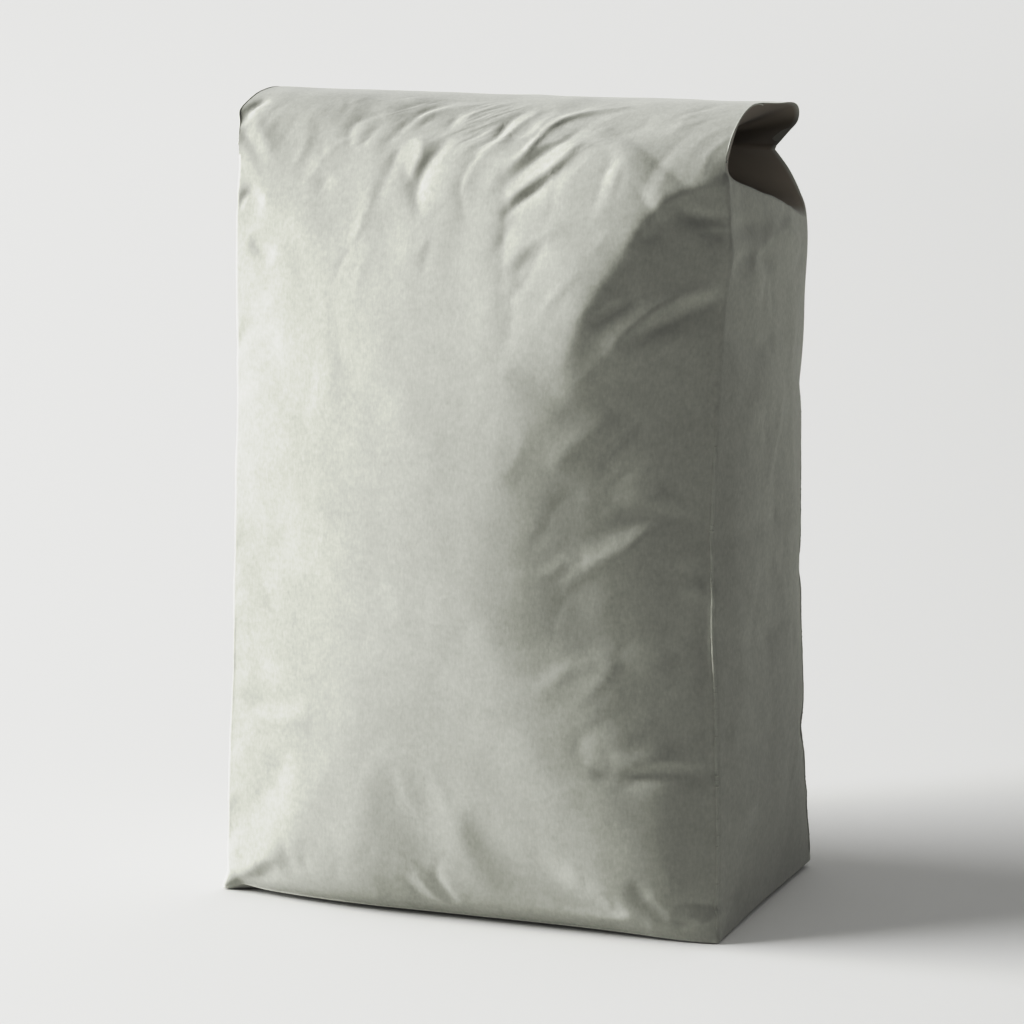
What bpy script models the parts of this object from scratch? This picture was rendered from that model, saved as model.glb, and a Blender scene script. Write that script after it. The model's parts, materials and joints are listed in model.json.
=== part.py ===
# A filled, side-gusseted paper sack of tile grout, standing on its block bottom.
# Metres, +Z up. The origin is under the middle of the sack, on the ground. The wide front faces -Y.

import bmesh
import bpy
import math
from mathutils import Vector

# The sack's wall, and the powder's distance from the sack's outer face.
WALL = 0.0004
POWDER_INSET = 0.0014

# The wall thins to these shares in the folded top's panels and tucks, whose wedges are narrow.
FOLD_WALL_SHARE = 0.25
TUCK_WALL_SHARE = 0.05

# Half of the front's width at heights along the sack.
HALF_WIDTHS = [
    (0.000, 0.1080), (0.045, 0.1065), (0.125, 0.1042), (0.210, 0.1030),
    (0.278, 0.1045), (0.305, 0.1036), (0.345, 0.1040),
]

# The front corner fold in side view (y, z): up from the base, over the top, round the flap's
# rear end and forward along its underside to the notch, where the mouth is folded away.
FRONT_RISE = [
    (-0.0650, 0.000), (-0.0652, 0.045), (-0.0650, 0.130), (-0.0625, 0.210),
    (-0.0590, 0.270), (-0.0560, 0.304),
]
FRONT_FOLD = [
    (-0.0560, 0.3040), (-0.0490, 0.3150), (-0.0370, 0.3245), (-0.0240, 0.3302),
    (-0.0090, 0.3322), (0.0180, 0.3320), (0.0380, 0.3316), (0.0455, 0.3287),
    (0.0430, 0.3238), (0.0290, 0.3192), (0.0136, 0.3148),
]

# The back corner fold: up from the base to the shoulder, then forward to the notch.
BACK_RISE = [
    (0.0640, 0.000), (0.0590, 0.045), (0.0580, 0.130), (0.0585, 0.200),
    (0.0590, 0.250), (0.0576, 0.283),
]
BACK_FOLD = [(0.0576, 0.2830), (0.0473, 0.2950), (0.0325, 0.3048), (0.0126, 0.3132)]

# The middle of each side (outward offset, y, z): up the panel to its ridge, then tucked in.
SIDE_RISE = [
    (0.0000, 0.000, 0.0000), (0.0015, 0.000, 0.0450), (0.0030, -0.002, 0.1500), (0.0020, -0.010, 0.2955),
]
SIDE_TUCK = [
    (0.0020, -0.0100, 0.2955), (-0.0140, -0.0130, 0.3030), (-0.0290, -0.0140, 0.3095),
    (-0.0370, -0.0100, 0.3140), (-0.0390, 0.0010, 0.3145),
]

# How far the panels bulge in the middle of their width, at fractions of rise and fold.
FRONT_RISE_CROWN = [(0.0, 0.0), (0.15, 0.010), (0.5, 0.015), (0.8, 0.013), (1.0, 0.007)]
FRONT_FOLD_CROWN = [(0.0, 0.007), (0.25, 0.002), (0.5, 0.0005), (1.0, 0.0)]
BACK_RISE_CROWN = [(0.0, 0.0), (0.15, 0.007), (0.5, 0.010), (0.85, 0.008), (1.0, 0.005)]
BACK_FOLD_CROWN = [(0.0, 0.005), (0.5, 0.001), (1.0, 0.0)]

# The top runs down slightly from the left end to the right one.
TOP_TILT = 0.0025
TILT_STARTS = 0.220
TILT_FULL = 0.300

# The bottom edge is rounded by this much.
BASE_ROUND = 0.0035

# Mesh density: faces across a panel, across half a side, up the rise and along the fold.
PANEL_FACES = 12
HALF_SIDE_FACES = 4
RISE_RINGS = [0.0, 0.06, 0.14, 0.26, 0.38, 0.50, 0.62, 0.74, 0.86, 0.94, 1.0]
FOLD_SHARES = [0.0, 0.06, 0.13, 0.20, 0.27, 0.35, 0.45, 0.56, 0.66, 0.71, 0.745, 0.78, 0.82, 0.90, 1.0]
TUCK_HASTE = 0.6

# The powder's foot is narrower by this share, inside the sack's rounded bottom edge.
POWDER_FOOT = 0.97

# The powder's mound: how far its top rings draw in, and how high they lie over the last level.
POWDER_RINGS = 10
POWDER_MOUND = [(0.80, 0.006), (0.45, 0.012)]


def clear_scene():
    for obj in list(bpy.data.objects):
        bpy.data.objects.remove(obj, do_unlink=True)


def paper_material():
    mat = bpy.data.materials.new("sack_paper")
    mat.use_nodes = True
    bsdf = mat.node_tree.nodes["Principled BSDF"]
    bsdf.inputs["Base Color"].default_value = (0.42, 0.43, 0.38, 1.0)
    bsdf.inputs["Roughness"].default_value = 0.9
    bsdf.inputs["Metallic"].default_value = 0.0
    return mat


def powder_material():
    mat = bpy.data.materials.new("grout_powder")
    mat.use_nodes = True
    bsdf = mat.node_tree.nodes["Principled BSDF"]
    bsdf.inputs["Base Color"].default_value = (0.36, 0.35, 0.33, 1.0)
    bsdf.inputs["Roughness"].default_value = 1.0
    bsdf.inputs["Metallic"].default_value = 0.0
    return mat


def table_value(table, at):
    """Read a (place, value) table with straight lines between its rows."""
    for (a, va), (b, vb) in zip(table, table[1:]):
        if at <= b:
            share = max(0.0, (at - a) / (b - a))
            return va + (vb - va) * share
    return table[-1][1]


def smooth_point(points, t):
    """Catmull-Rom curve through the points; t runs from 0 to the number of spans."""
    last = len(points) - 1
    i = min(int(t), last - 1)
    f = t - i
    p0, p1 = Vector(points[max(i - 1, 0)]), Vector(points[i])
    p2, p3 = Vector(points[i + 1]), Vector(points[min(i + 2, last)])
    a = p1 * 2.0
    b = p2 - p0
    c = p0 * 2.0 - p1 * 5.0 + p2 * 4.0 - p3
    d = p1 * 3.0 - p0 - p2 * 3.0 + p3
    return (a + b * f + c * f * f + d * f * f * f) * 0.5


def walk(points, shares):
    """Points at the given shares of the curve's length."""
    steps = 40 * (len(points) - 1)
    fine = [smooth_point(points, (len(points) - 1) * k / steps) for k in range(steps + 1)]
    lengths = [0.0]
    for a, b in zip(fine, fine[1:]):
        lengths.append(lengths[-1] + (b - a).length)
    out = []
    k = 0
    for share in shares:
        goal = share * lengths[-1]
        while k < steps - 1 and lengths[k + 1] < goal:
            k += 1
        f = (goal - lengths[k]) / (lengths[k + 1] - lengths[k])
        out.append(fine[k].lerp(fine[k + 1], min(max(f, 0.0), 1.0)))
    return out


def outward(path, k, side):
    """The unit normal of a side-view path, forwards for the front (-1), backwards for the back (+1)."""
    a, b = path[max(k - 1, 0)], path[min(k + 1, len(path) - 1)]
    t = (b - a).normalized()
    return Vector((side * t.y, -side * t.x))


def tilt(x, z):
    amount = min(max((z - TILT_STARTS) / (TILT_FULL - TILT_STARTS), 0.0), 1.0)
    return -TOP_TILT * amount * x / HALF_WIDTHS[0][1]


def panel_row(corner, normal, half, crown):
    """A panel's points from the left corner to the right one, bulged in the middle."""
    row = []
    for i in range(PANEL_FACES + 1):
        u = 2.0 * i / PANEL_FACES - 1.0
        swell = crown * (1.0 - u * u)
        y = corner.x + normal.x * swell
        z = corner.y + normal.y * swell
        x = half * u
        row.append(Vector((x, y, z + tilt(x, z))))
    return row


def side_row(front, middle, back):
    """The right side's inner points, from the front corner over its middle to the back one."""
    row = []
    for k in range(1, 2 * HALF_SIDE_FACES):
        v = k / HALF_SIDE_FACES
        if v <= 1.0:
            row.append(front.lerp(middle, v))
        else:
            row.append(middle.lerp(back, v - 1.0))
    return row


def ring(front_corner, front_normal, front_crown, back_corner, back_normal, back_crown, side):
    """One closed turn round the tube, starting at the front's left corner."""
    front_half = table_value(HALF_WIDTHS, front_corner.y)
    back_half = table_value(HALF_WIDTHS, back_corner.y)
    front = panel_row(front_corner, front_normal, front_half, front_crown)
    back = panel_row(back_corner, back_normal, back_half, back_crown)
    side_x = table_value(HALF_WIDTHS, side.z) + side.x
    right = Vector((side_x, side.y, side.z + tilt(side_x, side.z)))
    left = Vector((-side_x, side.y, side.z + tilt(-side_x, side.z)))
    right_row = side_row(front[-1], right, back[-1])
    left_row = side_row(front[0], left, back[0])
    return front + right_row + back[::-1] + left_row[::-1]


def sack_rings():
    """All turns of the tube, from the base to the mouth."""
    rise = RISE_RINGS
    fold = [k / (len(FOLD_SHARES) - 1) for k in range(len(FOLD_SHARES))]
    tuck = [f ** TUCK_HASTE for f in fold]
    front = walk(FRONT_RISE, rise) + walk(FRONT_FOLD, FOLD_SHARES)[1:]
    back = walk(BACK_RISE, rise) + walk(BACK_FOLD, fold)[1:]
    side = walk(SIDE_RISE, rise) + walk(SIDE_TUCK, tuck)[1:]
    front_crown = [table_value(FRONT_RISE_CROWN, f) for f in rise]
    front_crown += [table_value(FRONT_FOLD_CROWN, f) for f in FOLD_SHARES[1:]]
    back_crown = [table_value(BACK_RISE_CROWN, f) for f in rise]
    back_crown += [table_value(BACK_FOLD_CROWN, f) for f in fold[1:]]
    rings = []
    for k in range(len(front)):
        front_normal = outward(front, k, -1.0)
        back_normal = outward(back, k, 1.0)
        rings.append(ring(front[k], front_normal, front_crown[k],
                          back[k], back_normal, back_crown[k], side[k]))
    return rings


def rounded_base(first):
    """Rings of a rounded bottom edge below the first level, the lowest one flat on the ground."""
    rings = []
    for angle in (90.0, 60.0, 30.0):
        drawn_in = BASE_ROUND * (1.0 - math.cos(math.radians(angle)))
        height = BASE_ROUND * (1.0 - math.sin(math.radians(angle)))
        rings.append([drawn_toward_axis(p, drawn_in, height) for p in first])
    return rings


def drawn_toward_axis(point, amount, height):
    """A base point moved in by the amount along X and Y, at the given height."""
    half_x, half_y = HALF_WIDTHS[0][1], -FRONT_RISE[0][0]
    return Vector((point.x * (1.0 - amount / half_x), point.y * (1.0 - amount / half_y), height))


def tube_faces(ring_total, count):
    """Triangles between the rings of a tube, and the cap that closes its bottom."""
    faces = []
    for r in range(ring_total - 1):
        for c in range(count):
            here, there = r * count + c, r * count + (c + 1) % count
            faces.append((here, there, there + count))
            faces.append((here, there + count, here + count))
    faces.append(tuple(range(count))[::-1])
    return faces


def new_mesh(name, verts, faces):
    mesh = bpy.data.meshes.new(name)
    mesh.from_pydata(verts, [], faces)
    mesh.update()
    return mesh


def centred(rings):
    """The rings moved along Y so that the origin lies under the middle of the whole depth."""
    depths = [p.y for r in rings for p in r]
    shift = Vector((0.0, -0.5 * (min(depths) + max(depths)), 0.0))
    return [[p + shift for p in r] for r in rings]


def add_object(name, mesh, material):
    obj = bpy.data.objects.new(name, mesh)
    obj.data.materials.append(material)
    bpy.context.collection.objects.link(obj)
    return obj


def levelled_base(rings):
    """The rings with the first one lifted by the bottom edge's round, over the rounded base."""
    first = [Vector((p.x, p.y, BASE_ROUND)) for p in rings[0]]
    return centred(rounded_base(first) + [first] + rings[1:])


def close_tucks(rings):
    """Meet the two halves of each tuck in the last ring, so that only the mouth's slit stays open."""
    last = rings[-1]
    right_middle = PANEL_FACES + HALF_SIDE_FACES
    left_middle = len(last) - HALF_SIDE_FACES
    twins = {}
    for middle in (right_middle, left_middle):
        for k in range(1, HALF_SIDE_FACES):
            low, high = middle - k, middle + k
            last[low] = (last[low] + last[high]) * 0.5
            twins[high] = low
    return twins


def inner_points(mesh, rings):
    """The outer points moved in by the wall; in the folded top the wall thins into the wedges."""
    count = len(rings[0])
    folded_from = count * (len(rings) - len(FOLD_SHARES) + 1)
    right_back = PANEL_FACES + 2 * HALF_SIDE_FACES
    corners = (0, PANEL_FACES, right_back, right_back + PANEL_FACES)
    points = []
    for vert in mesh.vertices:
        r, c = divmod(vert.index, count)
        on_panel = c <= PANEL_FACES or right_back <= c <= right_back + PANEL_FACES
        if vert.index < folded_from:
            points.append(vert.co - vert.normal * WALL)
        elif c in corners:
            before = (rings[r][c - 1] - vert.co).normalized()
            after = (rings[r][(c + 1) % count] - vert.co).normalized()
            points.append(vert.co + (before + after).normalized() * WALL)
        else:
            share = FOLD_WALL_SHARE if on_panel else TUCK_WALL_SHARE
            points.append(vert.co - vert.normal * WALL * share)
    return points


def rim_faces(faces, shift):
    """Quads that join the open edges of the outer skin to those of the inner one."""
    sides = {(face[k - 1], face[k]) for face in faces for k in range(len(face))}
    open_sides = sorted((a, b) for a, b in sides if (b, a) not in sides)
    return [(b, a, a + shift, b + shift) for a, b in open_sides]


def make_paper_sack():
    rings = levelled_base(sack_rings())
    count = len(rings[0])
    twins = close_tucks(rings)
    last = count * (len(rings) - 1)
    twin_verts = {last + high: last + low for high, low in twins.items()}
    faces = [tuple(twin_verts.get(v, v) for v in face) for face in tube_faces(len(rings), count)]
    outer = [p for r in rings for p in r]
    skin = new_mesh("skin", outer, faces)
    inner = inner_points(skin, rings)
    bpy.data.meshes.remove(skin)
    shift = len(outer)
    walls = faces + [tuple(v + shift for v in face[::-1]) for face in faces] + rim_faces(faces, shift)
    mesh = new_mesh("paper_sack", outer + inner, walls)
    drop_loose(mesh)
    mesh.shade_smooth()
    mesh.set_sharp_from_angle(angle=math.radians(40.0))
    return add_object("paper_sack", mesh, paper_material())


def drop_loose(mesh):
    """Delete the points that no face uses."""
    bm = bmesh.new()
    bm.from_mesh(mesh)
    bmesh.ops.delete(bm, geom=[v for v in bm.verts if not v.link_faces], context='VERTS')
    bm.to_mesh(mesh)
    bm.free()


def powder_ring(source, floor):
    """A sack ring drawn in by the powder's room, and kept above the floor."""
    half_x = max(abs(p.x) for p in source)
    half_y = max(abs(p.y) for p in source)
    share_x = 1.0 - POWDER_INSET / half_x
    share_y = 1.0 - POWDER_INSET / half_y
    return [Vector((p.x * share_x, p.y * share_y, max(p.z, floor))) for p in source]


def make_grout_fill():
    rings = levelled_base(sack_rings())
    base_rings = len(rings) - len(sack_rings()) + 1
    body = [powder_ring(r, POWDER_INSET) for r in rings[base_rings - 1:base_rings + POWDER_RINGS - 1]]
    foot = [Vector((p.x * POWDER_FOOT, p.y * POWDER_FOOT, POWDER_INSET)) for p in body[0]]
    levels = [foot] + body
    top = levels[-1]
    middle = sum(top, Vector()) / len(top)
    for drawn_in, rise in POWDER_MOUND:
        lift = Vector((0.0, 0.0, rise))
        levels.append([middle + (p - middle) * drawn_in + lift for p in top])
    count = len(top)
    first_of_top = count * (len(levels) - 1)
    faces = tube_faces(len(levels), count) + [tuple(range(first_of_top, first_of_top + count))]
    mesh = new_mesh("grout_fill", [p for level in levels for p in level], faces)
    return add_object("grout_fill", mesh, powder_material())


clear_scene()
make_paper_sack()
make_grout_fill()
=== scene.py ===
import json
import math
import time

import bpy
import numpy as np
from mathutils import Matrix, Vector

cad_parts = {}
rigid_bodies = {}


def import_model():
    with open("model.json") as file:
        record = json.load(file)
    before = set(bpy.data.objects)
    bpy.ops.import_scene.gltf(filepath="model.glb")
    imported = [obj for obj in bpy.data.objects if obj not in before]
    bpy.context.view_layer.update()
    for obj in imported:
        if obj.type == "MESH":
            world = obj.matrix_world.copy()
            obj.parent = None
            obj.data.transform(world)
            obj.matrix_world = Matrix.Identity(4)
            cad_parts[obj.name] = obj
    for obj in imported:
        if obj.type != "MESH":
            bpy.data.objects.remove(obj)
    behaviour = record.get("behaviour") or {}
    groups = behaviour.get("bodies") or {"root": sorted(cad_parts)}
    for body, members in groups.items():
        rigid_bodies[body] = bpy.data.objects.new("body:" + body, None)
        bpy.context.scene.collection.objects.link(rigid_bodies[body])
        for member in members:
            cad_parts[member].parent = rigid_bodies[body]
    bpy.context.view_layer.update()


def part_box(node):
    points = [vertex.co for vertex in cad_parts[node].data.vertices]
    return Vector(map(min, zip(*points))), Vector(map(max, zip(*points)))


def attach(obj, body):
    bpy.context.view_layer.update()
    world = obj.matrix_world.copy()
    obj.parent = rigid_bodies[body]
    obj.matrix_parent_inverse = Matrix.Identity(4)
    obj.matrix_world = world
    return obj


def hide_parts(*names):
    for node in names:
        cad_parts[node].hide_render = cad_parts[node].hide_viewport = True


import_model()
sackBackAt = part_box("paper_sack")[1][1]  # where the solid's back is
print("frame loaded")

# The sack's lines, in metres. Side-view lines are (y, z), before the back is moved onto the solid's.
sack = {
    "halfWidths": [  # height, half of the front's width
        (0.000, 0.1080), (0.045, 0.1065), (0.125, 0.1042), (0.210, 0.1030),
        (0.278, 0.1045), (0.305, 0.1036), (0.345, 0.1040),
    ],
    "frontRise": [  # front corner fold, from the base to the shoulder
        (-0.0650, 0.000), (-0.0652, 0.045), (-0.0650, 0.130), (-0.0625, 0.210),
        (-0.0590, 0.270), (-0.0560, 0.304),
    ],
    "frontFold": [  # over the top, round the flap's rear and back to the notch
        (-0.0490, 0.3150), (-0.0370, 0.3245), (-0.0240, 0.3302), (-0.0090, 0.3322),
        (0.0180, 0.3320), (0.0380, 0.3316), (0.0455, 0.3287), (0.0430, 0.3238),
        (0.0290, 0.3192), (0.0136, 0.3148),
    ],
    "leftFold": [  # the same at the top's left end, which stands squarer
        (-0.0530, 0.3162), (-0.0470, 0.3248), (-0.0365, 0.3303), (-0.0230, 0.3326), (-0.0080, 0.3332),
        (0.0180, 0.3322), (0.0380, 0.3316), (0.0455, 0.3287), (0.0430, 0.3238),
        (0.0290, 0.3192), (0.0136, 0.3148),
    ],
    "leftFrom": 0.1, "leftFull": -1.0,  # where across the front, from -1 to 1, the fold turns into the left one
    "backRise": [
        (0.0640, 0.000), (0.0590, 0.045), (0.0580, 0.130), (0.0585, 0.200),
        (0.0590, 0.250), (0.0576, 0.283),
    ],
    "backFold": [(0.0473, 0.2950), (0.0325, 0.3048), (0.0126, 0.3132)],
    "sideRise": [  # middle of a side: outward offset, y, z
        (0.0000, 0.000, 0.0000), (0.0030, 0.000, 0.0450), (0.0052, -0.002, 0.1500), (0.0040, -0.010, 0.2955),
    ],
    "sideTuck": [
        (-0.0180, -0.0110, 0.2990), (-0.0380, -0.0110, 0.3050), (-0.0500, -0.0080, 0.3120),
        (-0.0520, 0.0010, 0.3145),
    ],
    "rightShoulder": [  # height, how far the right front corner stands out
        (0.0, 0.0), (0.150, 0.0), (0.185, 0.0004), (0.210, 0.0012), (0.235, 0.0018), (0.255, 0.0024),
        (0.272, 0.0036), (0.290, 0.0030), (0.306, 0.0010), (0.320, 0.0), (0.345, 0.0),
    ],
    "earLift": 0.0020,  # the bottom's left front corner, the ear, is off the ground by this much
    "earReach": (0.011, 0.022, 0.020),  # how far it reaches along the front, along the side and up
    "earTip": 10,  # a high power of the ear is its tip, which touches the ground again
    "earOut": 0.0040,  # it stands out to the left by this much
    "earOutPower": 8, "earOutReach": 0.008,  # only near its tip, and up to this height
    "earRound": 0.0008,  # how round the base's edge is there
    "leftWiden": 0.0022,  # the flattened top is wider at its left end by this much
    "widenFrom": 0.296, "widenOver": 0.030,  # from this height, and fully this much higher
    "lipOut": 0.0018, "lipHeight": 0.3240,  # the front ply's lip at the top's left end
    "lipReach": (0.003, 0.0035), "lipAheadOf": -0.03,  # across and up, and only ahead of this y
    "frontCrown": [
        (0.0, 0.0), (0.02, 0.0024), (0.06, 0.0042), (0.12, 0.0054), (0.2, 0.0072), (0.35, 0.0120),
        (0.6, 0.0172), (0.8, 0.0175), (0.92, 0.0125), (1.0, 0.006),
    ],
    "bulgePowers": (2.0, 2.5),  # left and right of the middle: a higher power keeps the bulge full further out
    "footPower": 2.6, "footPowerReach": 0.035,  # added to them at the foot, up to about this height
    "frontSkew": 0.15,  # the bulge is this much fuller on the right
    "footBulge": [  # across the front from -1 to 1, how far its foot stands out
        (-1.0, 0.0), (-0.75, 0.004), (-0.45, 0.0066), (-0.1, 0.0058), (0.3, 0.0045), (0.8, 0.003), (1.0, 0.0),
    ],
    "footReach": 0.070,  # height at which that has died down
    "footLean": 0.0076,  # the front leans out over its foot by this much more
    "footLeanReach": 0.018, "footLeanFade": 0.150,  # heights over which the lean grows and dies down
    "frontFoldCrown": [(0.0, 0.006), (0.06, 0.0036), (0.15, 0.0016), (0.3, 0.0004), (0.5, 0.0), (1.0, 0.0)],
    "backCrown": [(0.0, 0.0), (0.15, 0.007), (0.5, 0.010), (0.85, 0.008), (1.0, 0.005)],
    "backFoldCrown": [(0.0, 0.005), (0.5, 0.001), (1.0, 0.0)],
    "topTilt": 0.0025,  # drop of the top's right end
    "tiltFrom": 0.220, "tiltFull": 0.300,  # heights between which it sets in
    "baseGap": 0.0018,  # the base's edge stays off the ground by this much
    "baseGapReach": 0.009,  # height over which the paper above it comes back to its place
    "nearReach": 0.030,  # but the right front corner rests on the ground, within this reach
    "baseRound": 0.0010,
    "baseShares": [  # the bottom's rings: their size, and the share of the edge's height they keep
        (0.975, 0.95), (0.93, 0.7), (0.86, 0.1), (0.55, 0.0), (0.3, 0.0), (0.08, 0.0),
    ],
    "tuckHaste": 0.6,  # the tuck runs ahead of the front fold by this power
    "tuckSharpens": 8,  # a side is a sharp valley once one in this many of the fold is done
}

# How finely the paper is modelled: faces across the panels, up the rise, along the fold, round the base's edge.
paperGrid = {
    "front": 176, "back": 60, "side": 52, "rise": 158, "fold": 90, "baseRound": 5,
    "riseMarks": [0, .028, .06, .15, .24, .33, .42, .51, .60, .69, .775, .835, .89, .945, 1.0],
    "foldMarks": [0, .045, .09, .135, .18, .235, .30, .38, .48, .58, .66, .71, .745, .79, .86, 1.0],
    # how far the front's fold has come at even steps of the back's
    "foldPace": [0, .06, .13, .20, .27, .35, .45, .56, .66, .71, .745, .78, .82, .90, 1.0],
}
rightFront = paperGrid["front"]  # columns of the corner folds, counted from the left front one
rightBack = rightFront + paperGrid["side"]
leftBack = rightBack + paperGrid["back"]
allColumns = leftBack + paperGrid["side"]


spanSteps = 32  # how finely the curves are drawn between two of their points


def curveThrough(points, perSpan=spanSteps):
    # Catmull-Rom curve through the points, as an array with perSpan steps to a span
    p = np.array(points, dtype=float)
    p = np.vstack([p[:1], p, p[-1:]])
    f = np.linspace(0.0, 1.0, perSpan, endpoint=False)[:, None]
    spans = []
    for a, b, c, d in zip(p[:-3], p[1:-2], p[2:-1], p[3:]):
        spans.append(0.5 * (2 * b + (c - a) * f + (2 * a - 5 * b + 4 * c - d) * f**2
                            + (3 * b - a - 3 * c + d) * f**3))
    return np.vstack(spans + [p[-1:]])


def lengthsAlong(line):
    return np.concatenate([[0.0], np.cumsum(np.linalg.norm(np.diff(line, axis=0), axis=1))])


def atLengths(line, lengths, wanted):
    return np.stack([np.interp(wanted, lengths, line[:, k]) for k in range(line.shape[1])], axis=1)


def riseAndFold(rise, fold, riseShares, foldShares):
    # points up the rise and then along the fold, both on one smooth curve
    line = curveThrough(rise + fold)
    lengths = lengthsAlong(line)
    shoulder = lengths[spanSteps * (len(rise) - 1)]
    wanted = np.concatenate([riseShares * shoulder, shoulder + foldShares[1:] * (lengths[-1] - shoulder)])
    return atLengths(line, lengths, wanted)


def easedTable(table, at):
    line = curveThrough(table)
    return np.interp(at, line[:, 0], line[:, 1])


def pathNormals(path, side):
    t = np.gradient(path, axis=0)
    t /= np.linalg.norm(t, axis=1)[:, None]
    return np.stack([side * t[:, 1], -side * t[:, 0]], axis=1)


def smoothStep(t):
    t = np.clip(t, 0.0, 1.0)
    return t * t * (3.0 - 2.0 * t)


def panelRows(corner, normal, half, crown, across, skew=0.0, powers=(2.0, 2.0)):
    # rows of points from the left corner to the right one, bulged in the middle
    u = across[None, :]
    power = np.where(u > 0.0, powers[1], powers[0])
    power = power + sack["footPower"] * np.exp(-corner[:, 1:2] / sack["footPowerReach"])
    swell = crown[:, None] * (1.0 - np.abs(u) ** power) * (1.0 + skew * u)
    x = half[:, None] * u
    y = corner[:, 0:1] + normal[:, 0:1] * swell
    z = corner[:, 1:2] + normal[:, 1:2] * swell
    return np.stack([x, y, z], axis=2)


def sideRows(front, middle, back, count, tucked):
    # rows over one side: a soft bow on the rise, a sharp valley in the tuck
    w = np.linspace(0.0, 1.0, count + 1)[1:-1][None, :, None]
    valley = np.where(w < 0.5, front[:, None] + (middle - front)[:, None] * 2 * w,
                      middle[:, None] + (back - middle)[:, None] * (2 * w - 1))
    straight = front[:, None] * (1 - w) + back[:, None] * w
    bow = straight + (middle - 0.5 * (front + back))[:, None] * 4 * w * (1 - w)
    t = tucked[:, None, None]
    return bow * (1 - t) + valley * t


def spread(marks, count):
    # count + 1 shares from 0 to 1, closer together where the marks are
    return np.interp(np.linspace(0, 1, count + 1), np.linspace(0, 1, len(marks)), marks)


def frontPanel(front, leftFront, crown, across):
    # the fold is squarer towards its left end, and the foot bulges and leans out
    rightward, leftward = [
        panelRows(line, pathNormals(line, -1.0), easedTable(sack["halfWidths"], line[:, 1]), crown,
                  across, sack["frontSkew"], sack["bulgePowers"])
        for line in (front, leftFront)
    ]
    squarer = smoothStep((sack["leftFrom"] - across) / (sack["leftFrom"] - sack["leftFull"]))[None, :, None]
    rows = rightward * (1.0 - squarer) + leftward * squarer
    foot = easedTable(sack["footBulge"], across)[None, :]
    height = rows[..., 2]
    rows[..., 1] -= foot * np.exp(-(height / sack["footReach"]) ** 2)
    grown = 1.0 - np.exp(-height / sack["footLeanReach"])
    lean = sack["footLean"] * grown * np.exp(-height / sack["footLeanFade"])
    rows[..., 1] -= lean * np.where(across > 0.0, 1.0 - across ** 6, 1.0)[None, :]
    return rows


def shapeBase(rings):
    # the ear, the rounded edge and the gap under it; says how round the edge is
    corner = rings[0, 0]
    acrossReach, sideReach, upReach = sack["earReach"]
    ear = np.exp(-((rings[..., 0] - corner[0]) / acrossReach) ** 2)
    ear *= np.exp(-((rings[..., 1] - corner[1]) / sideReach) ** 2 - (rings[..., 2] / upReach) ** 2)
    tip = ear ** sack["earTip"]
    edgeRound = sack["baseRound"] + (sack["earRound"] - sack["baseRound"]) * ear[0] ** 2
    fromNear = np.linalg.norm(rings[0] - rings[0, rightFront], axis=1)
    resting = np.exp(-(fromNear / sack["nearReach"]) ** 2)
    edgeHeight = sack["baseGap"] * (1.0 - tip[0]) * (1.0 - resting) + edgeRound
    rings[..., 2] += edgeHeight * np.exp(-rings[..., 2] / sack["baseGapReach"])
    rings[..., 2] += sack["earLift"] * (ear - tip)
    low = np.exp(-(rings[..., 2] / sack["earOutReach"]) ** 2)
    rings[..., 0] -= sack["earOut"] * ear ** sack["earOutPower"] * low
    return edgeRound


def shapeTop(rings):
    # wider at its left end, with a lip there, and tilted down to the right
    halfBase = sack["halfWidths"][0][1]
    wide = smoothStep((rings[..., 2] - sack["widenFrom"]) / sack["widenOver"])
    rings[..., 0] -= sack["leftWiden"] * wide * np.clip(-rings[..., 0] / halfBase, 0.0, 1.0) ** 3
    acrossLip, upLip = sack["lipReach"]
    lip = np.exp(-((rings[..., 0] - rings[..., :1, 0]) / acrossLip) ** 2)
    lip *= np.exp(-((rings[..., 2] - sack["lipHeight"]) / upLip) ** 2) * (rings[..., 1] < sack["lipAheadOf"])
    rings[..., 0] -= sack["lipOut"] * lip
    amount = np.clip((rings[..., 2] - sack["tiltFrom"]) / (sack["tiltFull"] - sack["tiltFrom"]), 0.0, 1.0)
    rings[..., 2] -= sack["topTilt"] * amount * rings[..., 0] / halfBase


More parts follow.
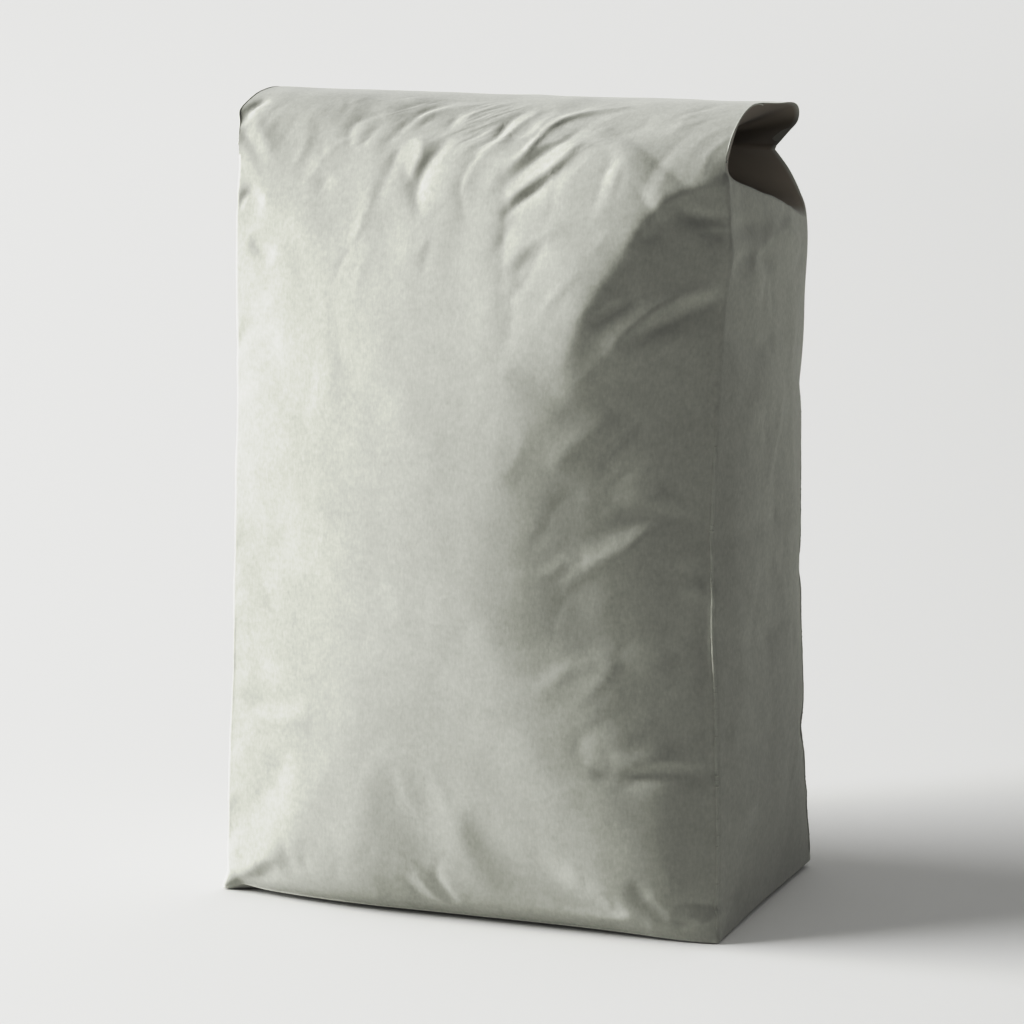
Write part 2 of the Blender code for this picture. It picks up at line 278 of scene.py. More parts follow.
def sackRings():
    riseShares = spread(paperGrid["riseMarks"], paperGrid["rise"])
    foldShares = spread(paperGrid["foldMarks"], paperGrid["fold"])
    pace = np.interp(foldShares, paperGrid["foldPace"], np.linspace(0.0, 1.0, len(paperGrid["foldPace"])))
    front = riseAndFold(sack["frontRise"], sack["frontFold"], riseShares, foldShares)
    leftFront = riseAndFold(sack["frontRise"], sack["leftFold"], riseShares, foldShares)
    back = riseAndFold(sack["backRise"], sack["backFold"], riseShares, pace)
    side = np.vstack([
        atCurve(sack["sideRise"], riseShares),
        atCurve(sack["sideRise"][-1:] + sack["sideTuck"], pace ** sack["tuckHaste"])[1:],
    ])
    frontCrown = np.concatenate([easedTable(sack["frontCrown"], riseShares),
                                 easedTable(sack["frontFoldCrown"], foldShares)[1:]])
    backCrown = np.concatenate([easedTable(sack["backCrown"], riseShares),
                                easedTable(sack["backFoldCrown"], pace)[1:]])
    across = np.linspace(-1.0, 1.0, paperGrid["front"] + 1)
    frontRows = frontPanel(front, leftFront, frontCrown, across)
    backRows = panelRows(back, pathNormals(back, 1.0), easedTable(sack["halfWidths"], back[:, 1]),
                         backCrown, np.linspace(-1.0, 1.0, paperGrid["back"] + 1))
    tucked = np.concatenate([np.zeros(paperGrid["rise"] + 1), np.minimum(pace[1:] * sack["tuckSharpens"], 1.0)])
    halfAt = easedTable(sack["halfWidths"], side[:, 2]) + side[:, 0]
    right = np.stack([halfAt, side[:, 1], side[:, 2]], axis=1)
    left = right * np.array([-1.0, 1.0, 1.0])
    rightRows = sideRows(frontRows[:, -1], right, backRows[:, -1], paperGrid["side"], tucked)
    leftRows = sideRows(frontRows[:, 0], left, backRows[:, 0], paperGrid["side"], tucked)
    rings = np.concatenate([frontRows, rightRows, backRows[:, ::-1], leftRows[:, ::-1]], axis=1)
    share = np.concatenate([smoothStep((across - 0.1) / 0.9),
                            np.linspace(1.0, 0.0, paperGrid["side"] + 1)[1:-1],
                            np.zeros(allColumns - rightBack)])
    rings[..., 0] += easedTable(sack["rightShoulder"], rings[..., 2]) * share[None, :]
    edgeRound = shapeBase(rings)
    shapeTop(rings)
    return rings, edgeRound


def atCurve(points, shares):
    line = curveThrough(points)
    lengths = lengthsAlong(line)
    return atLengths(line, lengths, shares * lengths[-1])


rings, baseRound = sackRings()
depthShift = sackBackAt - rings[..., 1].max()
rings[..., 1] += depthShift
print("paper lofted:", rings.shape[0], "rings of", rings.shape[1], "points")

# Unrolled places on the paper in millimetres: across is 0 in the middle of the front and grows over the
# right side to the back, up is the way along the paper from the bottom edge.
faceHalf, sideDepth = 104.0, 130.0


def unrolledAcross():
    front = np.linspace(-faceHalf, faceHalf, paperGrid["front"] + 1)
    right = faceHalf + np.linspace(0, sideDepth, paperGrid["side"] + 1)[1:-1]
    back = faceHalf + sideDepth + np.linspace(0, 2 * faceHalf, paperGrid["back"] + 1)
    left = -faceHalf - sideDepth + np.linspace(0, sideDepth, paperGrid["side"] + 1)[1:-1]
    return np.concatenate([front, right, back, left])


def unrolledUp(points):
    steps = np.linalg.norm(np.diff(points, axis=0), axis=2)
    return np.vstack([np.zeros(points.shape[1]), np.cumsum(steps, axis=0)]) * 1000.0


acrossPaper = np.broadcast_to(unrolledAcross(), rings.shape[:2])
upPaper = unrolledUp(rings)


def gridNormals(points):
    around = np.roll(points, -1, axis=1) - np.roll(points, 1, axis=1)
    along = np.gradient(points, axis=0)
    n = np.cross(around, along)
    return n / np.maximum(np.linalg.norm(n, axis=2), 1e-12)[..., None]


def paperNormals(points):
    # at the folded top's open ends a corner fold goes with the ply beside it
    n = gridNormals(points)
    folded = slice(paperGrid["rise"] + 1, None)
    for corner, ply in ((0, 1), (rightFront, rightFront - 1),
                        (rightBack, rightBack + 1), (leftBack, leftBack - 1)):
        n[folded, corner] = n[folded, ply]
    return n


# Columns of the sides, where the fold tucks them in.
tuckMask = np.zeros(rings.shape[:2])
tuckMask[paperGrid["rise"] + 1:, rightFront + 1:rightBack] = 1.0
tuckMask[paperGrid["rise"] + 1:, leftBack + 1:] = 1.0

# The filled paper is let go for a moment as cloth: pressure from inside and a little spare paper buckle it.
slack = {
    "pressure": 4.0, "frames": 14, "quality": 6, "mass": 0.2,
    "tension": 60.0, "shear": 30.0, "bending": 14.0,
    "mostMoved": 0.0035,  # metres
    "cornerHold": 0.4, "cornerReach": 3.0,  # how firmly the corner folds stay, within how many mm
    "holdFrom": 12.0, "holdOver": 20.0,  # the fold stays from so many mm past the shoulder, fully so much later
    "footHold": 12.0,  # mm up to which the foot stays
    "spare": 0.028,  # the most spare paper, where the share below is 1
    "spareShare": [
        (0, 0.0), (30, 0.08), (90, 0.2), (180, 0.4), (240, 0.8), (290, 1.0), (320, 0.7), (350, 0.0), (900, 0.0),
    ],
}


def holdMap():
    # 1 where the paper stays put, 0 where it is free
    shoulder = upPaper[paperGrid["rise"]].max() + slack["holdFrom"]
    along = np.abs(acrossPaper)
    cornerGap = np.minimum(np.abs(along - faceHalf), np.abs(along - faceHalf - sideDepth))
    hold = np.clip((upPaper - shoulder) / slack["holdOver"], 0.0, 1.0)
    hold = np.maximum(hold, slack["cornerHold"] * np.exp(-(cornerGap / slack["cornerReach"]) ** 2))
    hold = np.maximum(hold, smoothStep(1.0 - upPaper / slack["footHold"]))
    return np.maximum(hold, tuckMask)


def quadsAround(index):
    # faces between the rows of a grid of point numbers, which is closed round its columns
    turned = np.roll(index, -1, axis=1)
    return np.stack([index[:-1], turned[:-1], turned[1:], index[1:]], axis=2).reshape(-1, 4).tolist()


def everySecond(points):
    return points[::2, ::2]


def betweenRows(coarse):
    # twice as many rows, the new ones on a cubic through their neighbours
    pad = np.concatenate([coarse[:1], coarse, coarse[-1:]])
    middle = (9 * (pad[1:-2] + pad[2:-1]) - (pad[:-3] + pad[3:])) / 16.0
    out = np.empty((2 * coarse.shape[0] - 1, *coarse.shape[1:]))
    out[::2] = coarse
    out[1::2] = middle
    return out


def betweenColumns(coarse):
    # twice as many columns, all the way round
    before, after, later = [np.roll(coarse, k, axis=1) for k in (1, -1, -2)]
    middle = (9 * (coarse + after) - (before + later)) / 16.0
    out = np.empty((coarse.shape[0], 2 * coarse.shape[1], *coarse.shape[2:]))
    out[:, ::2] = coarse
    out[:, 1::2] = middle
    return out


def letSettle(points):
    coarse = everySecond(points)
    rows, columns = coarse.shape[:2]
    index = np.arange(rows * columns).reshape(rows, columns)
    mesh = bpy.data.meshes.new("settling")
    mesh.from_pydata(coarse.reshape(-1, 3).tolist(), [], quadsAround(index))
    obj = bpy.data.objects.new("settling", mesh)
    bpy.context.collection.objects.link(obj)
    spareMap = np.interp(upPaper, *zip(*slack["spareShare"]))
    for name, weights in (("hold", holdMap()), ("spare", spareMap)):
        group = obj.vertex_groups.new(name=name)
        for k, w in enumerate(everySecond(weights).ravel().tolist()):
            group.add([k], w, "REPLACE")
    cloth = obj.modifiers.new("cloth", "CLOTH")
    c = cloth.settings
    c.quality = slack["quality"]
    c.mass = slack["mass"]
    c.tension_stiffness = c.compression_stiffness = slack["tension"]
    c.shear_stiffness = slack["shear"]
    c.bending_stiffness = slack["bending"]
    c.use_pressure = True
    c.uniform_pressure_force = slack["pressure"]
    c.vertex_group_shrink = "spare"
    c.shrink_min = 0.0
    c.shrink_max = -slack["spare"]
    c.vertex_group_mass = "hold"
    c.pin_stiffness = 1.0
    c.effector_weights.gravity = 0.0
    cloth.collision_settings.use_self_collision = False
    cloth.point_cache.frame_end = slack["frames"] + 1
    scene = bpy.context.scene
    for k in range(1, slack["frames"] + 1):
        scene.frame_set(k)
    done = obj.evaluated_get(bpy.context.evaluated_depsgraph_get()).data
    moved = np.zeros(rows * columns * 3)
    done.vertices.foreach_get("co", moved)
    moved = moved.reshape(coarse.shape) - coarse
    scene.frame_set(1)
    bpy.data.objects.remove(obj, do_unlink=True)
    bpy.data.meshes.remove(mesh)
    size = np.linalg.norm(moved, axis=2)
    print("settled: moved up to %.1f mm, %.1f mm on average" % (size.max() * 1000, size.mean() * 1000))
    cap = slack["mostMoved"] * np.tanh(size / slack["mostMoved"])
    moved *= (cap / np.maximum(size, 1e-9))[..., None]
    return points + betweenColumns(betweenRows(moved))


# Creases pressed into the paper: each a line of places on the unrolled paper (across, up) in millimetres,
# with its half width (or the one on the line's left and the one on its right) and its height over the paper
# (a valley is below 0), also in millimetres.
creases = {
    "gathers under the folded top": [
        ([(-43, 330), (-50, 328.5), (-54, 325), (-55, 319), (-52, 312)], (1.5, 2.2), -0.6),
        ([(-46, 326), (-50, 321), (-51, 316)], 1.6, 0.3),
        ([(-42, 327), (-46, 320), (-49, 313)], 1.4, -0.45),
        ([(-39, 315), (-34, 323), (-29, 331)], 1.5, -0.7),
        ([(-56, 329), (-45, 332), (-36, 340), (-27, 347), (-10, 350)], 1.3, -0.5),
        ([(-37, 323), (-31, 329), (-26, 340), (-18, 346)], 1.3, -0.9),
        ([(-36, 319), (-32, 326), (-26, 335), (-16, 343), (-5, 346)], (2.0, 1.4), 0.8),
        ([(-39, 286), (-36, 298), (-33, 307), (-32, 315), (-26, 320)], 2.8, -0.7),
        ([(-25, 322), (-21, 314), (-23, 306), (-26, 298)], 2.2, 0.9),
        ([(-11, 322), (-14, 315), (-18, 307), (-20, 301), (-20, 293), (-16, 285)], (4.0, 2.6), -1.9),
        ([(-7, 322), (-2, 312), (-1, 304), (-6, 297), (-13, 288)], (3.6, 6.5), 0.35),
        ([(-29, 308), (-25, 302), (-21, 295)], 2.0, -0.8),
        ([(-28, 325), (-20, 335)], 1.6, -0.5),
        ([(-14, 327), (-12, 338)], 1.5, -0.5),
        ([(-16, 284), (-4, 292)], 3.0, -0.4),
        ([(-66, 294), (-60, 301)], 3.0, -0.6),
        ([(-74, 298), (-70, 313), (-68, 324)], 4.0, -0.5),
        ([(-72, 297), (-64, 308)], 2.2, 0.4),
        ([(0, 313), (8, 322), (11, 335), (17, 344)], 1.4, -1.0),
        ([(3, 312), (11, 320), (15, 330), (21, 343)], 1.4, 0.8),
        ([(15, 305), (24, 314), (28, 327), (33, 335), (43, 342), (58, 348)], (2.2, 1.2), 1.7),
        ([(17, 300), (27, 310), (37, 321), (43, 331)], (1.4, 2.6), -1.5),
        ([(16, 311), (21, 315), (24, 320), (28, 327), (30, 335)], 1.5, -0.5),
        ([(17, 320), (23, 325), (25, 333), (29, 341)], 1.3, 0.6),
        ([(20, 339), (27, 344)], 1.4, -0.6),
        ([(6, 343), (18, 344)], 1.8, -0.4),
        ([(18, 292), (29, 301), (39, 309), (46, 320)], (2.6, 1.3), 1.7),
        ([(18, 286), (24, 293), (30, 298), (37, 304)], (1.4, 3.0), -1.6),
        ([(19, 280), (22, 272)], 2.4, -0.3),
        ([(15, 310), (19, 290), (20, 271), (22, 250)], (2.6, 1.6), -0.35),
        ([(22, 267), (30, 275), (36, 279), (44, 285)], 2.6, 0.8),
        ([(24, 263), (32, 270), (38, 277)], 3.0, -0.7),
        ([(54, 283), (60, 294), (63, 303), (68, 312)], 3.0, 0.6),
        ([(71, 292), (76, 302), (79, 308), (87, 318)], 2.4, -0.4),
        ([(75, 292), (81, 301), (84, 309)], 2.2, 0.3),
    ],
    "shoulder at the upper right": [
        ([(88, 301), (80, 292), (72, 282), (65, 270), (56, 254), (50, 238), (44, 220)], (14.0, 30.0), 4.8),
        ([(62, 262), (53, 238), (46, 214), (42, 190)], (24.0, 36.0), 1.8),
        ([(60, 326), (65, 312), (70, 296), (72, 284)], (22.0, 12.0), 1.6),
        ([(82, 297), (76, 287), (70, 281), (65, 272)], (4.0, 8.0), 1.0),
        ([(76, 289), (84, 294), (92, 297), (99, 298.5), (108, 298)], (9.0, 3.4), 2.6),
        ([(84, 290), (91, 287), (97, 286), (104, 285)], 2.6, -1.8),
        ([(93, 281), (103, 279)], 2.4, -0.9),
        ([(79, 287), (77, 281), (72, 277)], 2.4, -0.9),
        ([(63, 235), (73, 245), (80, 251), (89, 256), (101, 259)], 4.0, 1.9),
        ([(70, 234), (78, 243), (86, 247), (94, 252), (104, 254)], 3.4, -1.7),
        ([(58, 243), (65, 251), (75, 256)], 3.4, -1.1),
        ([(48, 214), (58, 226), (72, 236), (90, 241)], (6.0, 9.0), 1.5),
    ],
    "left edge": [
        ([(-102, 321), (-101, 328), (-96, 335)], 1.8, -1.4),
        ([(-98, 322), (-88, 309)], 4.0, 0.5),
        ([(-104, 287), (-99, 290), (-90, 288)], 2.8, -1.3),
        ([(-97, 271), (-84, 266)], 2.6, -0.9),
        ([(-104, 233), (-92, 236), (-80, 232)], 3.0, -0.8),
        ([(-103, 205), (-90, 210), (-78, 206)], 3.4, 0.8),
        ([(-103, 150), (-88, 147), (-70, 152)], 3.4, -0.7),
        ([(-103, 122), (-85, 126)], 3.0, 0.7),
        ([(-98, 75), (-84, 76), (-62, 78)], 2.6, 1.0),
        ([(-98, 81), (-66, 84)], 2.6, -0.9),
        ([(-92, 150), (-90, 100), (-88, 50)], (16.0, 20.0), -0.9),
    ],
    "middle of the right half": [
        ([(43, 188), (51, 197), (60, 203), (69, 211)], 4.5, 1.0),
        ([(62, 186), (72, 203), (80, 210)], 4.0, -0.9),
        ([(56, 160), (71, 167), (79, 170), (87, 171), (96, 170), (103, 165)], 3.4, -1.1),
        ([(72, 177), (83, 177), (92, 174), (104, 168)], 3.0, 0.8),
        ([(47, 141), (56, 149), (64, 154), (72, 158), (80, 164), (90, 168)], 3.4, 1.1),
        ([(92, 155), (103, 161), (125, 160), (145, 160), (184, 158)], 2.8, -0.9),
        ([(84, 149), (101, 149)], 2.4, -0.6),
        ([(87, 152), (99, 152)], 1.8, 0.4),
        ([(92, 142), (104, 140)], 2.0, 0.4),
        ([(177, 150), (207, 155), (223, 159)], 2.6, 0.6),
    ],
    "low right": [
        ([(62, 10), (62, 35), (61, 70), (58, 120)], (30.0, 45.0), 3.0),
        ([(58, 71), (64, 67), (74, 67), (88, 69), (104, 69)], 2.6, -2.0),
        ([(66, 74), (84, 74), (93, 73), (103, 70)], 2.6, 1.0),
        ([(110, 74), (133, 74), (166, 71), (178, 75)], 2.6, -0.8),
        ([(118, 79), (162, 75)], 2.4, 0.4),
    ],
    "along the right front rib": [
        ([(101.8, 8), (101.8, 100), (101.8, 200), (101.8, 298)], 1.2, -0.7),
        ([(104.0, 4), (104.0, 90), (104.0, 180), (104.0, 270)], 1.2, 0.3),
    ],
    "right side": [
        ([(103, 284), (129, 282), (165, 279)], 4.5, -2.4),
        ([(164, 277), (196, 273), (217, 266)], 6.0, 1.6),
        ([(106, 266), (136, 269), (170, 263)], 5.0, -2.0),
        ([(106, 246), (140, 232), (168, 236)], 7.0, -1.6),
        ([(120, 205), (150, 212), (190, 204)], 8.0, 1.6),
        ([(110, 122), (150, 112), (196, 120)], 7.0, -1.5),
        ([(116, 42), (150, 48), (190, 40)], 8.0, 1.5),
        ([(222, 130), (232, 131), (242, 134)], 5.0, -1.8),
        ([(220, 64), (232, 62), (242, 60)], 4.5, -1.6),
        ([(226, 205), (236, 210), (242, 214)], 6.0, -1.2),
        ([(122, 15), (126, 90), (119, 170), (123, 262)], 9.0, 0.8),
        ([(163, 12), (158, 100), (168, 190), (160, 272)], 11.0, -1.0),
        ([(203, 15), (207, 110), (199, 200), (205, 270)], 9.0, 0.9),
        ([(160, 275), (181, 280), (201, 288)], 3.0, -0.8),
        ([(98, 279), (120, 279), (146, 279)], 2.6, -0.7),
        ([(104, 290), (147, 289)], 2.4, -0.5),
        ([(131, 268), (171, 276), (207, 281)], 2.8, 0.6),
        ([(192, 278), (226, 259)], 2.8, 0.5),
    ],
    "bottom": [
        ([(80, 15), (94, 16), (103, 15), (130, 11)], 3.0, -1.1),
        ([(91, 5), (99, 8), (107, 11), (121, 8)], 2.0, 0.8),
        ([(87, 9), (97, 7)], 1.8, -0.6),
        ([(73, 24), (79, 17)], 2.2, -0.5),
        ([(-105, 1), (-98, 5), (-86, 15), (-74, 21)], (7.0, 5.0), 1.8),
        ([(-101, 1), (-87, 8), (-78, 14)], 5.0, -0.9),
        ([(-104, 21), (-97, 13)], 1.6, 0.5),
        ([(-22, 20), (-15, 10), (0, 4)], 2.0, -0.35),
        ([(-10, 22), (-5, 15), (0, 8)], 1.8, -0.45),
        ([(-17, 20), (-9, 10), (-2, 5)], 1.6, 0.4),
    ],
}

# How much of its height a group keeps, where not all.
creaseDepth = {"gathers under the folded top": 0.7}

# A crease from the side: how narrow its crest is, how many half widths it reaches, the height cut off there,
# and the power with which it thins out at its ends.
creaseForm = {"crest": 0.45, "reach": 3.5, "cut": 0.045, "ends": 0.7}

# Smaller creases that repeat by chance: where (across and up, low and high), how far they lean from upright
# towards the right going up in degrees, their lengths, how many, half width and height, in millimetres.
smallCreases = {
    "under the fold, left": [(-100, -62), (312, 344), (-15, 35), (10, 24), 10, 1.5, 0.22],
    "under the fold, middle": [(-62, 64), (305, 345), (30, 72), (10, 34), 34, 1.2, 0.22],
    "under the fold, right": [(60, 104), (306, 346), (10, 60), (12, 26), 10, 1.6, 0.22],
    "upper front": [(-60, 62), (255, 305), (5, 50), (14, 34), 18, 2.0, 0.26],
    "right half": [(36, 103), (60, 255), (35, 80), (14, 40), 30, 2.2, 0.30],
    "left half": [(-100, 30), (20, 255), (-30, 60), (16, 44), 16, 3.0, 0.20],
    "left edge": [(-103, -84), (40, 310), (60, 110), (10, 22), 16, 2.0, 0.28],
    "bottom": [(-100, 100), (6, 28), (-60, 60), (8, 20), 18, 1.8, 0.18],
    "right side": [(106, 232), (15, 285), (-75, 75), (16, 46), 36, 2.8, 0.50],
    "left side": [(-230, -108), (15, 285), (-75, 75), (16, 46), 30, 2.6, 0.7],
    "back": [(238, 438), (15, 275), (-75, 75), (20, 60), 46, 3.2, 0.75],
}

# How much they differ: the bend for their length, and the shares of their width and height.
smallCreaseChance = {"seed": 21, "bend": 0.18, "width": (0.6, 1.2), "height": (0.5, 1.2)}

# Wide, shallow waves all over the paper.
waves = {"seed": 5, "count": 48, "shortest": 16.0, "longest": 70.0, "steepness": 0.0034, "footFade": 12.0}


def pressCreases():
    out = np.zeros(acrossPaper.shape)
    for name, group in creases.items():
        for line, wide, high in group:
            out += creaseRelief(curveThrough(line, 10), wide, high * creaseDepth.get(name, 1.0))
    chance = np.random.default_rng(smallCreaseChance["seed"])
    most = smallCreaseChance["bend"]
    for acrossSpan, upSpan, leanSpan, lengthSpan, count, wide, high in smallCreases.values():
        for k in range(count):
            start = np.array([chance.uniform(*acrossSpan), chance.uniform(*upSpan)])
            lean = math.radians(chance.uniform(*leanSpan))
            step = np.array([math.sin(lean), math.cos(lean)]) * chance.uniform(*lengthSpan)
            bend = np.array([step[1], -step[0]]) * chance.uniform(-most, most)
            line = [start - step / 2, start + bend, start + step / 2]
            widths = wide * chance.uniform(*smallCreaseChance["width"], 2)
            height = high * chance.uniform(*smallCreaseChance["height"]) * (-1) ** k
            out += creaseRelief(curveThrough(line, 6), tuple(widths), height)
    return out + waveRelief()


def waveRelief():
    chance = np.random.default_rng(waves["seed"])
    out = np.zeros(acrossPaper.shape)
    around = 2.0 * (faceHalf * 2 + sideDepth)
    for k in range(waves["count"]):
        length = waves["shortest"] * (waves["longest"] / waves["shortest"]) ** chance.random()
        turn = chance.uniform(0.0, math.pi)
        turnsRound = round(around * math.cos(turn) / length)  # whole waves, so that the paper meets itself
        phase = chance.uniform(0.0, 2.0 * math.pi)
        out += length * np.cos(2 * math.pi * (turnsRound * acrossPaper / around
                                              + math.sin(turn) * upPaper / length) + phase)
    return out * waves["steepness"] / math.sqrt(waves["count"] / 2) * smoothStep(upPaper / waves["footFade"])


def crispness(t):
    # a ridge's height across it, in half widths from its crest: narrow there, with long flanks
    height = np.exp(-t * t / (creaseForm["crest"] + np.abs(t)))
    return np.maximum(height - creaseForm["cut"], 0.0) / (1.0 - creaseForm["cut"])


def creaseRelief(line, wide, high):
    # a ridge (high above 0) or valley along a line, thinning out at both ends
    leftWide, rightWide = wide if isinstance(wide, tuple) else (wide, wide)
    reach = creaseForm["reach"] * max(leftWide, rightWide)
    low, top = line.min(axis=0) - reach, line.max(axis=0) + reach
    near = (acrossPaper > low[0]) & (acrossPaper < top[0]) & (upPaper > low[1]) & (upPaper < top[1])
    q = np.stack([acrossPaper[near], upPaper[near]], axis=1)
    best = np.full(len(q), 1e9)
    share = np.zeros(len(q))
    leftward = np.zeros(len(q))
    lengths = lengthsAlong(line)
    for k in range(len(line) - 1):
        a, b = line[k], line[k + 1]
        ab = b - a
        t = np.clip(((q - a) @ ab) / max(ab @ ab, 1e-9), 0.0, 1.0)
        away = q - a - t[:, None] * ab
        d = np.linalg.norm(away, axis=1)
        closer = d < best
        best[closer] = d[closer]
        share[closer] = ((lengths[k] + t * (lengths[k + 1] - lengths[k])) / lengths[-1])[closer]
        turned = (ab[0] * away[:, 1] - ab[1] * away[:, 0]) / np.linalg.norm(ab)
        leftward[closer] = (turned / np.maximum(d, 1e-6))[closer]
    width = leftWide + (rightWide - leftWide) * (0.5 - 0.5 * leftward)
    fade = np.sin(np.pi * np.clip(share, 0.01, 0.99)) ** creaseForm["ends"]
    out = np.zeros(acrossPaper.shape)
    out[near] = high * fade * crispness(best / width)
    return out


def bridged(first, second):
    # triangles between two rows of points, which may share an end
    faces, i, j = [], 0, 0
    while i < len(first) - 1 or j < len(second) - 1:
        if j == len(second) - 1 or (i + 1) / (len(first) - 1) <= (j + 1) / (len(second) - 1):
            face = [first[i], first[i + 1], second[j]]
            i += 1
        else:
            face = [first[i], second[j + 1], second[j]]
            j += 1
        if len(set(face)) == 3:
            faces.append(face)
    return faces


def closedPaperMesh(name, grid):
    # the rings plus a rounded bottom edge, the bottom, and the mouth closed with triangles
    rows, columns = grid.shape[:2]
    low = grid[0]
    halfX, halfY = np.abs(low[:, 0]).max(), np.abs(low[:, 1]).max()
    foot = []
    for angle in np.linspace(0.0, math.pi / 2, paperGrid["baseRound"] + 1)[1:]:
        drawn = baseRound * (1.0 - math.cos(angle))
        sunk = baseRound * math.sin(angle)
        foot.append(low * np.stack([1 - drawn / halfX, 1 - drawn / halfY, np.ones(columns)], axis=1)
                    - np.outer(sunk, [0, 0, 1]))
    edge = foot[-1]
    for share, left in sack["baseShares"]:
        foot.append(edge * np.array([share, share, left]))
    stack = np.concatenate([np.array(foot[::-1]), grid], axis=0)
    total = stack.shape[0]
    index = np.arange(total * columns).reshape(total, columns)
    faces = quadsAround(index)
    faces.append(index[0][::-1].tolist())
    last = index[-1].tolist()
    half = paperGrid["side"] // 2
    for front, back in (((-half, 0), (leftBack + half, leftBack)), ((0, rightFront), (leftBack, rightBack)),
                        ((rightFront, rightFront + half), (rightBack, rightFront + half))):
        faces += bridged([last[k] for k in range(front[0], front[1] + 1)],
                         [last[k] for k in range(back[0], back[1] - 1, -1)])
    mesh = bpy.data.meshes.new(name)
    mesh.from_pydata(stack.reshape(-1, 3).tolist(), [], faces)
    mesh.update()
    return mesh, len(foot)


def unwrapPaper(mesh, footRows):
    # a UV map in metres on the unrolled paper
    columns = rings.shape[1]
    u = (acrossPaper / 1000.0 + 0.25).ravel()
    v = (upPaper / 1000.0 + 0.05).ravel()
    uv = mesh.uv_layers.new(name="paperMap")
    loopVerts = np.zeros(len(mesh.loops), dtype=np.int32)
    mesh.loops.foreach_get("vertex_index", loopVerts)
    first = footRows * columns  # the bottom's points take the edge's places
    k = np.where(loopVerts < first, loopVerts % columns, loopVerts - first)
    data = np.stack([u[k], v[k]], axis=1)
    uv.data.foreach_set("uv", data.ravel())


sackPaperGrid = rings + paperNormals(rings) * pressCreases()[..., None] / 1000.0
started = time.time()
sackPaperGrid = letSettle(sackPaperGrid)
print("settling took %.0f s" % (time.time() - started))
sackMesh, footRows = closedPaperMesh("sackPaper", sackPaperGrid)
unwrapPaper(sackMesh, footRows)
sackMesh.shade_smooth()


def paintPoints(name, amounts):
    # an amount from 0 to 1 at each point of the paper
    values = np.zeros(len(sackMesh.vertices))
    values[footRows * allColumns:] = amounts.ravel()
    sackMesh.attributes.new(name, "FLOAT", "POINT").data.foreach_set("value", values)


def markCutEdges():
    # the folded top's open ends are creased hard, so their shading doesn't run on round the corner
    ends = np.zeros(len(sackMesh.edges) * 2, dtype=np.int32)
    sackMesh.edges.foreach_get("vertices", ends)
    ends = ends.reshape(-1, 2)
    column, row = ends % allColumns, ends // allColumns - footRows
    hard = (column[:, 0] == column[:, 1]) & (row.min(axis=1) > paperGrid["rise"])
    hard &= np.isin(column[:, 0], [0, rightFront, rightBack, leftBack])
    sackMesh.attributes.new("sharp_edge", "BOOLEAN", "EDGE").data.foreach_set("value", hard)


# Where shade is painted into the tucks as a darker brown, and where the finest gathers are: spans on the paper
# and how softly they end, in millimetres.
patches = {
    "tuckShadeFade": 6.0, "leftTuckShade": 0.35,  # the left tuck keeps this share of the painted shade
    "pleatsAcross": (-66.0, 64.0), "acrossFades": (16.0, 24.0),
    "pleatsUp": (304.0, 356.0), "upFades": (22.0, 12.0),
}


def within(places, span, fades):
    return smoothStep((places - span[0]) / fades[0]) * smoothStep((span[1] - places) / fades[1])


# painted shade: the tucks' recesses are marked for a darker brown, deeper into the fold, less on the left
deep = smoothStep((upPaper - upPaper[paperGrid["rise"]]) / patches["tuckShadeFade"])
paintPoints("tuckPaintedShade", tuckMask * deep * np.where(acrossPaper > 0.0, 1.0, patches["leftTuckShade"]))
paintPoints("pleated", within(acrossPaper, patches["pleatsAcross"], patches["acrossFades"])
            * within(upPaper, patches["pleatsUp"], patches["upFades"]))
markCutEdges()
sackObject = bpy.data.objects.new("sackPaper", sackMesh)
bpy.context.collection.objects.link(sackObject)
print("sack made:", len(sackMesh.polygons), "faces")


def srgb(hexCode, alpha=1.0):
    # sRGB hex to a linear colour
    parts = [int(hexCode[k:k + 2], 16) / 255.0 for k in (1, 3, 5)]
    linear = [c / 12.92 if c <= 0.04045 else ((c + 0.055) / 1.055) ** 2.4 for c in parts]
    return (*linear, alpha)


def addNode(tree, kind, settings=None, links=None):
    # one node with its settings; numbers and names in settings that are sockets are set on the socket
    node = tree.nodes.new(kind)
    for key, value in (settings or {}).items():
        if isinstance(key, int) or key in node.inputs:
            node.inputs[key].default_value = value
        else:
            setattr(node, key, value)
    for key, source in (links or {}).items():
        tree.links.new(source, node.inputs[key])
    return node


def newMaterial(name):
    mat = bpy.data.materials.new(name)
    mat.use_nodes = True
    mat.node_tree.nodes.clear()
    return mat, mat.node_tree


def layered(tree, layers):
    # the layers' values about 0, each times its weight, on top of one half
    total = None
    for source, weight in layers:
        step = addNode(tree, "ShaderNodeMath", {"operation": "SUBTRACT", 1: 0.5}, {0: source})
        part = addNode(tree, "ShaderNodeMath", {"operation": "MULTIPLY_ADD", 1: weight, 2: 0.5},
                       {0: step.outputs[0]})
        if total is not None:
            tree.links.new(total, part.inputs[2])
        total = part.outputs[0]
    return total


